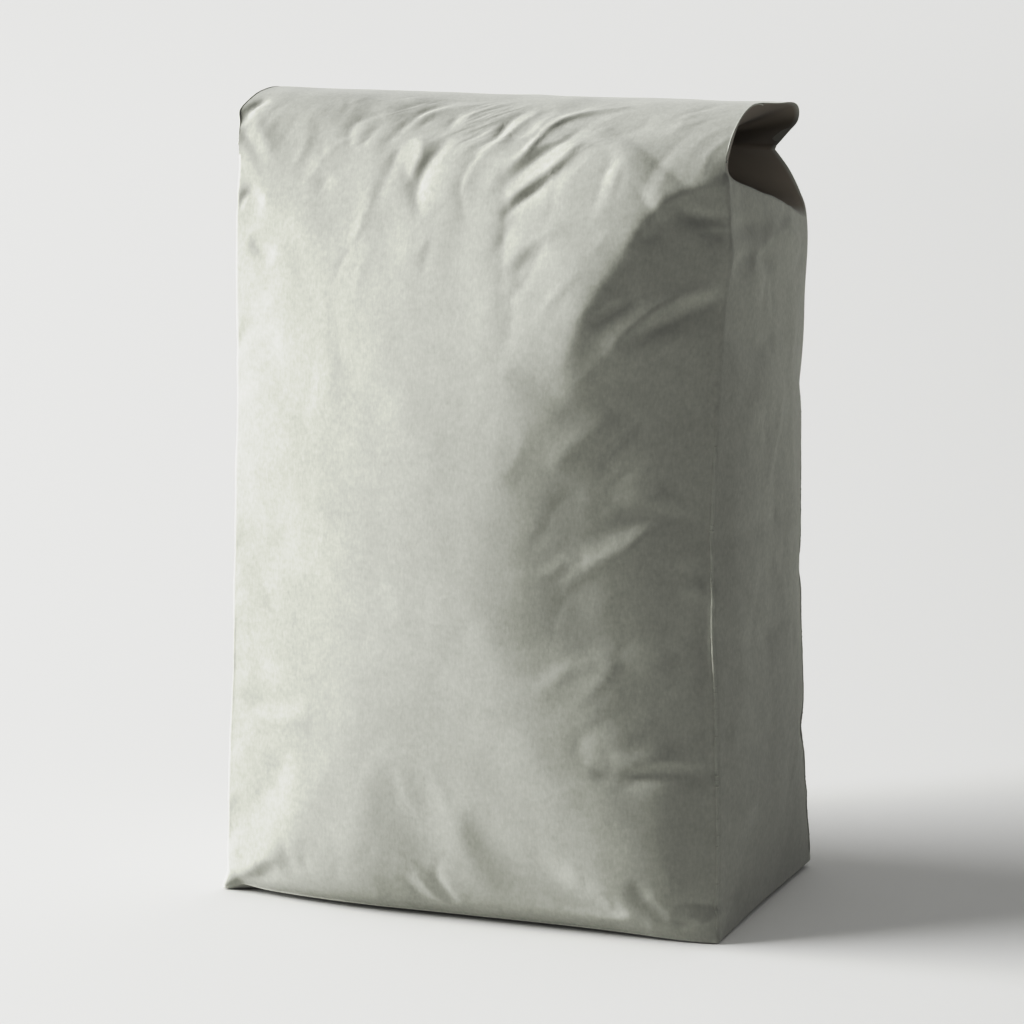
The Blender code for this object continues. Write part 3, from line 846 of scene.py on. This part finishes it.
paperLook = {
    "darkHex": "#9C9D96", "lightHex": "#B4B5AE",  # the two ends of the mottled tone
    "ribDarkHex": "#A0A19A", "ribLightHex": "#B7B8B1",  # paler along the ribs: rubbed paper, and a painted highlight on folds that sit in shade
    "tuckShadeHex": "#80786D",  # painted shade: a darker brown where the paper is folded in on itself, in the tucks' recesses
    # the mottling, from wide clouds to single fibres: size in millimetres and strength
    "cloudMm": 60.0, "cloud": 0.45, "blotchMm": 9.0, "blotch": 0.5, "fleckMm": 2.2, "fleck": 0.8,
    "fibreMm": 0.9, "fibre": 0.95, "fibreStretch": 3.0,
    "bumpMm": 0.05, "bump": 0.3,
    # the finest gathers: width, how many times longer, lean in degrees, height, and size of their patches
    "pleatMm": 4.2, "pleatStretch": 6.0, "pleatLean": 46.0, "pleatHighMm": 0.8, "pleatPatchMm": 26.0,
    "roughness": 0.93, "specular": 0.2, "sheen": 0.12,
}


def fibreLayers(tree, place):
    # clouds, blotches, flecks and upright fibres, as noises
    upright = addNode(tree, "ShaderNodeMapping", {"Scale": (1.0, 1.0 / paperLook["fibreStretch"], 1.0)},
                      {"Vector": place.outputs["UV"]})
    made = {}
    for layer, source, detail, rough in (("cloud", place.outputs["Object"], 2.0, 0.5),
                                         ("blotch", place.outputs["Object"], 2.0, 0.55),
                                         ("fleck", place.outputs["Object"], 2.0, 0.6),
                                         ("fibre", upright.outputs["Vector"], 3.0, 0.65)):
        made[layer] = addNode(tree, "ShaderNodeTexNoise",
                              {"Scale": 1000.0 / paperLook[layer + "Mm"], "Detail": detail, "Roughness": rough},
                              {"Vector": source}).outputs["Fac"]
    return made


def finePleats(tree, place):
    # the finest gathers under the fold, leaning and in patches, as a bump
    leaning = addNode(tree, "ShaderNodeVectorRotate",
                      {"rotation_type": "Z_AXIS", "Angle": math.radians(paperLook["pleatLean"])},
                      {"Vector": place.outputs["UV"]})
    drawn = addNode(tree, "ShaderNodeMapping", {"Scale": (1.0, 1.0 / paperLook["pleatStretch"], 1.0)},
                    {"Vector": leaning.outputs["Vector"]})
    pleat = addNode(tree, "ShaderNodeTexNoise",
                    {"Scale": 1000.0 / paperLook["pleatMm"], "Detail": 1.5, "Roughness": 0.5, "Distortion": 0.4},
                    {"Vector": drawn.outputs["Vector"]})
    pleated = addNode(tree, "ShaderNodeAttribute", {"attribute_name": "pleated"})
    patch = addNode(tree, "ShaderNodeTexNoise", {"Scale": 1000.0 / paperLook["pleatPatchMm"], "Detail": 1.0},
                    {"Vector": place.outputs["UV"]})
    patchy = addNode(tree, "ShaderNodeMapRange", {"From Min": 0.42, "From Max": 0.62},
                     {"Value": patch.outputs["Fac"]})
    depth = addNode(tree, "ShaderNodeMath", {"operation": "MULTIPLY"},
                    {0: patchy.outputs[0], 1: pleated.outputs["Fac"]})
    amount = addNode(tree, "ShaderNodeMath", {"operation": "MULTIPLY"},
                     {0: pleat.outputs["Fac"], 1: depth.outputs[0]})
    return addNode(tree, "ShaderNodeBump", {"Strength": 1.0, "Distance": paperLook["pleatHighMm"] / 1000.0},
                   {"Height": amount.outputs[0]}).outputs["Normal"]


def sackKraftPaper(name, darkHex, lightHex):
    # machine-made sack kraft paper: felted fibres leave clouds, flecks and a fine upright grain, all matte; the
    # tucks get a painted shade
    mat, tree = newMaterial(name)
    place = addNode(tree, "ShaderNodeTexCoord")
    layers = fibreLayers(tree, place)
    mottled = layered(tree, [(layers[k], paperLook[k]) for k in ("cloud", "blotch", "fleck", "fibre")])
    outer = addNode(tree, "ShaderNodeMix", {"data_type": "RGBA", 6: srgb(darkHex), 7: srgb(lightHex)},
                    {0: mottled})
    # painted shade: the tucks' recesses are mixed towards a darker brown
    tuckPaintedShade = addNode(tree, "ShaderNodeAttribute", {"attribute_name": "tuckPaintedShade"})
    tone = addNode(tree, "ShaderNodeMix", {"data_type": "RGBA", 7: srgb(paperLook["tuckShadeHex"])},
                   {0: tuckPaintedShade.outputs["Fac"], 6: outer.outputs[2]})
    height = layered(tree, [(layers["fibre"], 1.0), (layers["fleck"], 1.5), (layers["blotch"], 3.0)])
    bump = addNode(tree, "ShaderNodeBump",
                   {"Strength": paperLook["bump"], "Distance": paperLook["bumpMm"] / 1000.0},
                   {"Height": height, "Normal": finePleats(tree, place)})
    paper = addNode(tree, "ShaderNodeBsdfPrincipled",
                    {"Roughness": paperLook["roughness"], "Specular IOR Level": paperLook["specular"],
                     "Sheen Weight": paperLook["sheen"]},
                    {"Base Color": tone.outputs[2], "Normal": bump.outputs["Normal"]})
    addNode(tree, "ShaderNodeOutputMaterial", None, {"Surface": paper.outputs["BSDF"]})
    return mat


sackObject.data.materials.append(sackKraftPaper("sackKraftPaper", paperLook["darkHex"], paperLook["lightHex"]))
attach(sackObject, "root")
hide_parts("paper_sack")

# The dry powder inside, clear of every dent in the paper.
powder = {
    "gap": 0.0055, "floorGap": 0.0015, "fullTo": 0.86,  # metres, and the share of the rise it fills
    "footShare": 0.97, "mound": [(0.82, 0.007), (0.5, 0.013), (0.15, 0.015)],  # size of a ring and its lift
    "coarser": 4,  # it takes every fourth row and column of the paper
    "darkHex": "#8E8A82", "lightHex": "#A9A59C", "grainsPerMetre": 900.0,
    "bumpMm": 0.5, "bump": 0.6,
}


def dryGroutPowder():
    # cement and fine sand, dry: a dull, fine-grained grey with no shine
    mat, tree = newMaterial("dryGroutPowder")
    place = addNode(tree, "ShaderNodeTexCoord")
    grain = addNode(tree, "ShaderNodeTexNoise", {"Scale": powder["grainsPerMetre"], "Detail": 5.0},
                    {"Vector": place.outputs["Object"]})
    tone = addNode(tree, "ShaderNodeMix",
                   {"data_type": "RGBA", 6: srgb(powder["darkHex"]), 7: srgb(powder["lightHex"])},
                   {0: grain.outputs["Fac"]})
    bump = addNode(tree, "ShaderNodeBump", {"Strength": powder["bump"], "Distance": powder["bumpMm"] / 1000.0},
                   {"Height": grain.outputs["Fac"]})
    shader = addNode(tree, "ShaderNodeBsdfPrincipled", {"Roughness": 1.0, "Specular IOR Level": 0.1},
                     {"Base Color": tone.outputs[2], "Normal": bump.outputs["Normal"]})
    addNode(tree, "ShaderNodeOutputMaterial", None, {"Surface": shader.outputs["BSDF"]})
    return mat


def makePowder():
    lastRow = int(paperGrid["rise"] * powder["fullTo"])
    rows = rings[0:lastRow + 1:powder["coarser"], ::powder["coarser"]].copy()
    halfX, halfY = np.abs(rows[..., 0]).max(axis=1), np.abs(rows[..., 1]).max(axis=1)
    rows[..., 0] *= (1.0 - powder["gap"] / halfX)[:, None]
    rows[..., 1] *= (1.0 - powder["gap"] / halfY)[:, None]
    rows[..., 2] = np.maximum(rows[..., 2], powder["floorGap"] + sack["earLift"])
    foot = rows[0] * [powder["footShare"], powder["footShare"], 0.0] + [0.0, 0.0, powder["floorGap"]]
    top = rows[-1]
    middle = top.mean(axis=0)
    mound = [middle + (top - middle) * share + [0, 0, lift] for share, lift in powder["mound"]]
    stack = np.concatenate([foot[None], rows[1:], np.array(mound)])
    total, columns = stack.shape[:2]
    index = np.arange(total * columns).reshape(total, columns)
    faces = quadsAround(index) + [index[0][::-1].tolist(), index[-1].tolist()]
    mesh = bpy.data.meshes.new("groutPowder")
    mesh.from_pydata(stack.reshape(-1, 3).tolist(), [], faces)
    mesh.shade_smooth()
    mesh.materials.append(dryGroutPowder())
    obj = bpy.data.objects.new("groutPowder", mesh)
    bpy.context.collection.objects.link(obj)
    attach(obj, "root")
    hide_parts("grout_fill")


makePowder()
print("powder made")

# The ribs pressed along the corner folds, a bead with small crimps, and the cut edges of the folded top, a
# finer bead with none. In millimetres.
rib = {
    "width": 1.7, "sunk": 0.65, "backSunk": 0.68, "leftSunk": 0.48,  # how deep its middle lies in the paper
    "swellsPerMetre": 260.0, "swell": (0.9, 1.12),  # its width wavers between these shares
    "topShare": 0.25,  # the share of the width that is left at the top
    "taperFrom": 0.17, "taperTo": 0.26,  # heights in metres between which it narrows
    "step": 0.8, "startRow": 6,
    "endSunk": 0.9, "endFade": 1.5,  # the ends dive this much deeper, over so many rows
    "crimpPitch": 2.2, "crimpLength": 1.3, "crimpWidth": 1.85, "crimpSwell": (0.8, 1.12), "seed": 7,
    "flapWidth": 0.6, "flapSunk": 0.14, "flapPitch": 1000.0,
}


def ribTree():
    tree = bpy.data.node_groups.new("pressedRib", "GeometryNodeTree")
    tree.interface.new_socket("Geometry", in_out="INPUT", socket_type="NodeSocketGeometry")
    for name in ("Rib Width", "Step", "Top Share", "Taper From", "Taper To",
                 "Crimp Pitch", "Crimp Length", "Crimp Width"):
        tree.interface.new_socket(name, in_out="INPUT", socket_type="NodeSocketFloat")
    tree.interface.new_socket("Seed", in_out="INPUT", socket_type="NodeSocketInt")
    tree.interface.new_socket("Paper", in_out="INPUT", socket_type="NodeSocketMaterial")
    tree.interface.new_socket("Geometry", in_out="OUTPUT", socket_type="NodeSocketGeometry")
    given = addNode(tree, "NodeGroupInput")
    line = addNode(tree, "GeometryNodeMeshToCurve", None, {"Mesh": given.outputs["Geometry"]})
    fine = addNode(tree, "GeometryNodeResampleCurve", {"mode": "LENGTH"},
                   {"Curve": line.outputs["Curve"], "Length": given.outputs["Step"]})
    place = addNode(tree, "GeometryNodeInputPosition")
    uneven = addNode(tree, "ShaderNodeTexNoise", {"Scale": rib["swellsPerMetre"], "Detail": 2.0},
                     {"Vector": place.outputs["Position"]})
    least, most = rib["swell"]
    swell = addNode(tree, "ShaderNodeMapRange",
                    {"From Min": 0.3, "From Max": 0.7, "To Min": least, "To Max": most},
                    {"Value": uneven.outputs["Fac"]})
    height = addNode(tree, "ShaderNodeSeparateXYZ", None, {"Vector": place.outputs["Position"]})
    taper = addNode(tree, "ShaderNodeMapRange", {"To Min": 1.0},
                    {"Value": height.outputs["Z"], "From Min": given.outputs["Taper From"],
                     "From Max": given.outputs["Taper To"], "To Max": given.outputs["Top Share"]})
    thick = addNode(tree, "ShaderNodeMath", {"operation": "MULTIPLY"},
                    {0: swell.outputs[0], 1: taper.outputs[0]})
    half = addNode(tree, "ShaderNodeMath", {"operation": "MULTIPLY", 1: 0.5}, {0: given.outputs["Rib Width"]})
    section = addNode(tree, "GeometryNodeCurvePrimitiveCircle", {"Resolution": 8},
                      {"Radius": half.outputs["Value"]})
    bead = addNode(tree, "GeometryNodeCurveToMesh", {"Fill Caps": True},
                   {"Curve": fine.outputs["Curve"], "Profile Curve": section.outputs["Curve"],
                    "Scale": thick.outputs[0]})
    marks = addNode(tree, "GeometryNodeCurveToPoints", {"mode": "LENGTH"},
                    {"Curve": line.outputs["Curve"], "Length": given.outputs["Crimp Pitch"]})
    crimp = addNode(tree, "GeometryNodeMeshIcoSphere", {"Radius": 0.5, "Subdivisions": 2})
    shape = addNode(tree, "ShaderNodeCombineXYZ", None,
                    {"X": given.outputs["Crimp Width"], "Y": given.outputs["Crimp Width"],
                     "Z": given.outputs["Crimp Length"]})
    least, most = rib["crimpSwell"]
    chance = addNode(tree, "FunctionNodeRandomValue", {"data_type": "FLOAT", 2: least, 3: most},
                     {"Seed": given.outputs["Seed"]})
    tapered = addNode(tree, "ShaderNodeMath", {"operation": "MULTIPLY"},
                      {0: chance.outputs[1], 1: taper.outputs[0]})
    sized = addNode(tree, "ShaderNodeVectorMath", {"operation": "SCALE"},
                    {0: shape.outputs["Vector"], "Scale": tapered.outputs[0]})
    crimps = addNode(tree, "GeometryNodeInstanceOnPoints", None,
                     {"Points": marks.outputs["Points"], "Instance": crimp.outputs["Mesh"],
                      "Rotation": marks.outputs["Rotation"], "Scale": sized.outputs["Vector"]})
    both = addNode(tree, "GeometryNodeJoinGeometry")
    tree.links.new(crimps.outputs["Instances"], both.inputs["Geometry"])
    tree.links.new(bead.outputs["Mesh"], both.inputs["Geometry"])
    real = addNode(tree, "GeometryNodeRealizeInstances", None, {"Geometry": both.outputs["Geometry"]})
    smooth = addNode(tree, "GeometryNodeSetShadeSmooth", None, {"Geometry": real.outputs["Geometry"]})
    clad = addNode(tree, "GeometryNodeSetMaterial", None,
                   {"Geometry": smooth.outputs["Geometry"], "Material": given.outputs["Paper"]})
    result = addNode(tree, "NodeGroupOutput")
    tree.links.new(clad.outputs["Geometry"], result.inputs["Geometry"])
    return tree


def pressedRib(name, line, tree, paper, onFlap):
    mesh = bpy.data.meshes.new(name)
    mesh.from_pydata(line.tolist(), [(k, k + 1) for k in range(len(line) - 1)], [])
    obj = bpy.data.objects.new(name, mesh)
    bpy.context.collection.objects.link(obj)
    nodes = obj.modifiers.new("pressedRib", "NODES")
    nodes.node_group = tree
    values = {
        "Rib Width": rib["flapWidth" if onFlap else "width"] / 1000.0, "Step": rib["step"] / 1000.0,
        "Top Share": 1.0 if onFlap else rib["topShare"],
        "Taper From": rib["taperFrom"], "Taper To": rib["taperTo"],
        "Crimp Pitch": rib["flapPitch" if onFlap else "crimpPitch"] / 1000.0,
        "Crimp Length": rib["crimpLength"] / 1000.0, "Crimp Width": rib["crimpWidth"] / 1000.0,
        "Seed": rib["seed"], "Paper": paper,
    }
    for item in tree.interface.items_tree:
        if item.in_out == "INPUT" and item.name in values:
            nodes[item.identifier] = values[item.name]
    done = bpy.data.meshes.new_from_object(obj.evaluated_get(bpy.context.evaluated_depsgraph_get()))
    obj.modifiers.clear()
    obj.data = done
    done.name = name
    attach(obj, "root")


def makeRibs():
    tree = ribTree()
    # the ribs' paper is paler: rubbed, and a painted highlight on folds that sit in shade
    paper = sackKraftPaper("ribPaperRubbedAndPaintedHighlight", paperLook["ribDarkHex"], paperLook["ribLightHex"])
    normals = paperNormals(sackPaperGrid)
    risen = slice(rib["startRow"], paperGrid["rise"] - 1)
    folded = slice(paperGrid["rise"] + rib["startRow"], paperGrid["rise"] + paperGrid["fold"] // 2)
    for name, column, rows, sunk in (
        ("rightFrontRib", rightFront, risen, rib["sunk"]), ("rightBackRib", rightBack, risen, rib["backSunk"]),
        ("leftBackRib", leftBack, risen, rib["leftSunk"]),
        ("leftFlapEdge", 0, folded, rib["flapSunk"]), ("rightFlapEdge", rightFront, folded, rib["flapSunk"]),
    ):
        places = sackPaperGrid[rows, column]
        fromEnd = np.minimum(np.arange(len(places)), np.arange(len(places))[::-1])
        depths = sunk + rib["endSunk"] * np.exp(-fromEnd / rib["endFade"])
        line = places - normals[rows, column] * depths[:, None] / 1000.0
        pressedRib(name, line, tree, paper, onFlap=rows is folded)


makeRibs()
print("ribs made")

# The studio: a pale floor that rises gently far away, one large soft light from the left, a weak one from the
# right behind, and lights of the floor's own.
studio = {
    "floorLeftHex": "#D5D5D3", "floorRightPaintedShadeHex": "#C3C3C2",  # the floor's tone as the camera sees it, the right one darker as a painted shade
    "dimTo": 0.2,  # painted shade where the light falls off: it darkens from this far left to this far right, in metres for each metre ahead
    "evenUpTo": 0.3, "dimFrom": 1.0,  # metres ahead of the camera between which that sets in
    "floorFlat": 12.0, "bend": 60.0, "bendTurn": 12.0,  # metres flat, then a bend's radius and degrees
    "bendSteps": 16, "floorTurns": 96, "floorDrop": 0.0003,
    "worldHex": "#F3F2EE", "worldStrength": 0.092,
    # turn is from the left side towards the front, rise over the floor, in degrees
    "key": {"turn": 14.5, "rise": 19.0, "softness": 18.0, "strength": 8.9},
    "rim": {"turn": 252.0, "rise": 20.0, "softness": 26.0, "strength": 0.85},
    "floorKey": {"turn": 22.0, "rise": 24.0, "softness": 40.0, "strength": 6.1},
    "floorFill": {"turn": 200.0, "rise": 62.0, "softness": 120.0, "strength": 1.5},
}

# The camera, fitted to the corners of the photographed base and top.
view = {
    "turn": 21.9,  # degrees to the right of the front
    "distance": 1.269, "height": 0.3467, "sideways": -0.0058,
    "horizonRow": 60.0, "focalPixels": 3044.0, "imageSize": 1024,
}


def cameraStand():
    # where the camera stands, and the ways to its right and ahead of it
    turn = math.radians(view["turn"])
    right = Vector((math.cos(turn), math.sin(turn), 0.0))
    ahead = Vector((-math.sin(turn), math.cos(turn), 0.0))
    place = -ahead * view["distance"] + Vector((0.0, depthShift, view["height"])) + right * view["sideways"]
    return place, right, ahead


def coveWithPaintedShade():
    # matt studio paint with a painted shade: a little darker towards the camera's right, where the light falls
    # off, and even behind the camera
    mat, tree = newMaterial("coveWithPaintedShade")
    place, right, ahead = cameraStand()
    at = addNode(tree, "ShaderNodeTexCoord")
    fromStand = addNode(tree, "ShaderNodeVectorMath", {"operation": "SUBTRACT", 1: (place.x, place.y, 0.0)},
                        {0: at.outputs["Object"]})
    rightward, onward = [addNode(tree, "ShaderNodeVectorMath", {"operation": "DOT_PRODUCT", 1: way},
                                 {0: fromStand.outputs[0]}) for way in (right, ahead)]
    slope = addNode(tree, "ShaderNodeMath", {"operation": "DIVIDE"},
                    {0: rightward.outputs["Value"], 1: onward.outputs["Value"]})
    dimmed = addNode(tree, "ShaderNodeMapRange",
                     {"From Min": -studio["dimTo"], "From Max": studio["dimTo"], "To Min": 1.0, "To Max": 0.0},
                     {"Value": slope.outputs[0]})
    inFront = addNode(tree, "ShaderNodeMapRange",
                      {"From Min": studio["evenUpTo"], "From Max": studio["dimFrom"]},
                      {"Value": onward.outputs["Value"]})
    offset = addNode(tree, "ShaderNodeMath", {"operation": "SUBTRACT", 1: 0.5}, {0: dimmed.outputs[0]})
    share = addNode(tree, "ShaderNodeMath", {"operation": "MULTIPLY_ADD", 2: 0.5},
                    {0: offset.outputs[0], 1: inFront.outputs[0]})
    # painted shade: the floor's tone darkens towards the camera's right
    tone = addNode(tree, "ShaderNodeMix", {"data_type": "RGBA", 6: srgb(studio["floorRightPaintedShadeHex"]),
                                           7: srgb(studio["floorLeftHex"])}, {0: share.outputs[0]})
    shader = addNode(tree, "ShaderNodeBsdfPrincipled", {"Roughness": 0.9, "Specular IOR Level": 0.1},
                     {"Base Color": tone.outputs[2]})
    addNode(tree, "ShaderNodeOutputMaterial", None, {"Surface": shader.outputs["BSDF"]})
    return mat


def sweptFloor():
    profile = [(0.0, 0.0), (studio["floorFlat"], 0.0)]
    for k in range(studio["bendSteps"]):
        angle = math.radians(studio["bendTurn"] * (k + 1) / studio["bendSteps"])
        profile.append((studio["floorFlat"] + studio["bend"] * math.sin(angle),
                        studio["bend"] * (1 - math.cos(angle))))
    turns = studio["floorTurns"]
    verts, faces = [(0.0, 0.0, 0.0)], []
    for radius, height in profile[1:]:
        for k in range(turns):
            turn = 2 * math.pi * k / turns
            verts.append((radius * math.cos(turn), radius * math.sin(turn), height))
    for k in range(turns):
        faces.append((0, 1 + k, 1 + (k + 1) % turns))
    for r in range(len(profile) - 2):
        for k in range(turns):
            a, b = 1 + r * turns + k, 1 + r * turns + (k + 1) % turns
            faces.append((a, a + turns, b + turns, b))
    mesh = bpy.data.meshes.new("floor")
    mesh.from_pydata(verts, [], faces)
    mesh.shade_smooth()
    mesh.materials.append(coveWithPaintedShade())
    floor = bpy.data.objects.new("floor", mesh)
    floor.location.z = -studio["floorDrop"]
    bpy.context.collection.objects.link(floor)


def softSun(name):
    # a distant soft light
    given = studio[name]
    light = bpy.data.lights.new(name, "SUN")
    light.angle = math.radians(given["softness"])
    light.energy = given["strength"]
    obj = bpy.data.objects.new(name, light)
    t, r = math.radians(given["turn"]), math.radians(given["rise"])
    toLight = Vector((-math.cos(t) * math.cos(r), -math.sin(t) * math.cos(r), math.sin(r)))
    obj.rotation_euler = toLight.to_track_quat("Z", "Y").to_euler()
    obj.location = toLight * 2.0
    bpy.context.collection.objects.link(obj)
    return obj


def studioWorld():
    world = bpy.data.worlds.new("studio")
    bpy.context.scene.world = world
    world.use_nodes = True
    back = world.node_tree.nodes["Background"]
    back.inputs["Color"].default_value = srgb(studio["worldHex"])
    back.inputs["Strength"].default_value = studio["worldStrength"]


def photoCamera():
    place, right, ahead = cameraStand()
    pitch = math.atan2(view["imageSize"] / 2 - view["horizonRow"], view["focalPixels"])
    cam = bpy.data.cameras.new("photoCamera")
    cam.sensor_width = 36.0
    cam.lens = view["focalPixels"] * cam.sensor_width / view["imageSize"]
    cam.clip_start, cam.clip_end = 0.05, 50.0
    obj = bpy.data.objects.new("photoCamera", cam)
    forward = (ahead * math.cos(pitch) + Vector((0, 0, -math.sin(pitch)))).normalized()
    up = right.cross(forward)
    obj.matrix_world = Matrix.Translation(place) @ Matrix((right, up, -forward)).transposed().to_4x4()
    bpy.context.collection.objects.link(obj)
    bpy.context.scene.camera = obj


sweptFloor()
studioWorld()
photoCamera()


def lightOnly(light, names):
    # the light reaches only these objects, whose shadows are still cast by all
    lit = bpy.data.collections.new(light.name + "Reach")
    for obj in bpy.context.scene.objects:
        if obj.name in names:
            lit.objects.link(obj)
    light.light_linking.receiver_collection = lit


# Light as it falls on the film and the tone it gives: more contrast in the darks, and highlights up to twice
# white that keep their drawing.
tones = {
    "white": 2.0, "last": 0.93,
    "points": [
        (0.10, 0.055), (0.17, 0.110), (0.25, 0.205), (0.376, 0.37),
        (0.60, 0.60), (0.80, 0.785), (1.0, 0.85), (1.4, 0.89),
    ],
}


def toneCurve():
    settings = bpy.context.scene.view_settings
    settings.view_transform = "Standard"
    settings.use_curve_mapping = True
    mapping = settings.curve_mapping
    mapping.white_level = (tones["white"],) * 3
    curve = mapping.curves[3]
    for light, tone in tones["points"]:
        curve.points.new(light / tones["white"], tone)
    curve.points[-1].location = (1.0, tones["last"])
    mapping.update()


pieces = [o.name for o in bpy.context.scene.objects if o.type == "MESH" and o.name != "floor"]
for name in ("key", "rim"):
    lightOnly(softSun(name), pieces)
for name in ("floorKey", "floorFill"):
    lightOnly(softSun(name), ["floor"])
toneCurve()
print("studio set")
